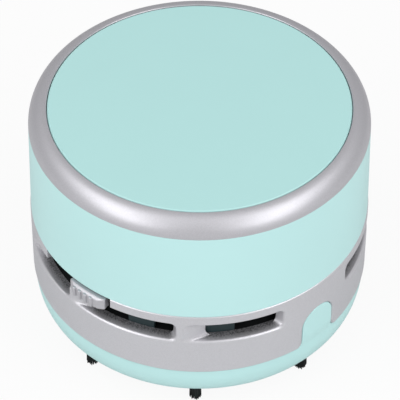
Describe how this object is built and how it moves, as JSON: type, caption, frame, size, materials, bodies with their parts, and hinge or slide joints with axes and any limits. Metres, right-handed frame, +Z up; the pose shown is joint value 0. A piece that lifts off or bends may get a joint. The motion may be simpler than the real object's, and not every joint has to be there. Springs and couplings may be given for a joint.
{
  "type": "mini vacuum cleaner",
  "caption": "Round battery desk vacuum cleaner with a ring of air vents, a slide switch, a lift-off dust tray with bristle tufts and a lid over the cells.",
  "frame": {"origin": "on the table under the centre of the round body, between the tips of the bristle tufts", "axes": "+Z up along the fan's axis; -Y towards the side of the picture's viewer; +X to the viewer's right, the switch on the left of -Y"},
  "size_m": [0.086, 0.086, 0.0655],
  "materials": {
    "mint_plastic": "satin gloss, pale mint",
    "silver_plastic": "satin silver paint on plastic",
    "black_plastic": "fine matt",
    "bristle": "nylon bristles",
    "white_plastic": "fine matt",
    "filter_gauze": "woven filter gauze",
    "contact_brass": "plain sheet",
    "steel": "bright zinc",
    "motor_metal": "drawn and plated can",
    "cell_wrap": "plain printed sleeve, no lettering",
    "black_lead": "wire insulation",
    "red_lead": "wire insulation"
  },
  "bodies": {
    "dust_tray": {"dust_tray": "mint_plastic", "bristle_tuft_1": "bristle", "bristle_tuft_2": "bristle", "bristle_tuft_3": "bristle", "bristle_tuft_4": "bristle", "bristle_tuft_5": "bristle", "bristle_tuft_6": "bristle", "bristle_tuft_7": "bristle", "bristle_tuft_8": "bristle"},
    "housing": {"upper_shell": "mint_plastic", "vent_band": "silver_plastic", "chassis": "black_plastic", "fan_plate": "black_plastic", "switch_guide": "black_plastic", "battery_cradle": "black_plastic", "filter_frame": "white_plastic", "motor_end_cap": "white_plastic", "filter_gauze": "filter_gauze", "switch_contact_1": "contact_brass", "switch_contact_2": "contact_brass", "motor_terminal_1": "contact_brass", "motor_terminal_2": "contact_brass", "contact_bridge": "contact_brass", "contact_plate_minus": "contact_brass", "contact_plate_plus": "contact_brass", "contact_spring_1": "steel", "contact_spring_2": "steel", "deck_screw_1": "steel", "deck_screw_2": "steel", "deck_screw_3": "steel", "deck_screw_4": "steel", "plate_screw_1": "steel", "plate_screw_2": "steel", "plate_screw_3": "steel", "motor_screw_1": "steel", "motor_screw_2": "steel", "motor_can": "motor_metal", "battery_cell_1": "cell_wrap", "battery_cell_2": "cell_wrap", "lead_minus": "black_lead", "lead_motor": "black_lead", "lead_plus": "red_lead"},
    "lid": {"lid_ring": "silver_plastic", "top_disc": "mint_plastic"},
    "switch": {"switch_knob": "silver_plastic", "switch_carrier": "black_plastic", "switch_wiper": "contact_brass"},
    "rotor": {"impeller": "black_plastic", "motor_shaft": "steel"}
  },
  "joints": [
    {"name": "housing_lift", "type": "slide", "parent": "dust_tray", "child": "housing", "axis": [0, 0, 1], "range_m": [0, 0.05]},
    {"name": "lid_lift", "type": "slide", "parent": "housing", "child": "lid", "axis": [0, 0, 1], "range_m": [0, 0.03]},
    {"name": "switch_slide", "type": "hinge", "parent": "housing", "child": "switch", "pos_m": [0, 0, 0.0323], "axis": [0, 0, 1], "range_deg": [-13, 0]},
    {"name": "fan_spin", "type": "hinge", "parent": "housing", "child": "rotor", "pos_m": [0, 0, 0.03], "axis": [0, 0, 1], "continuous": true}
  ]
}
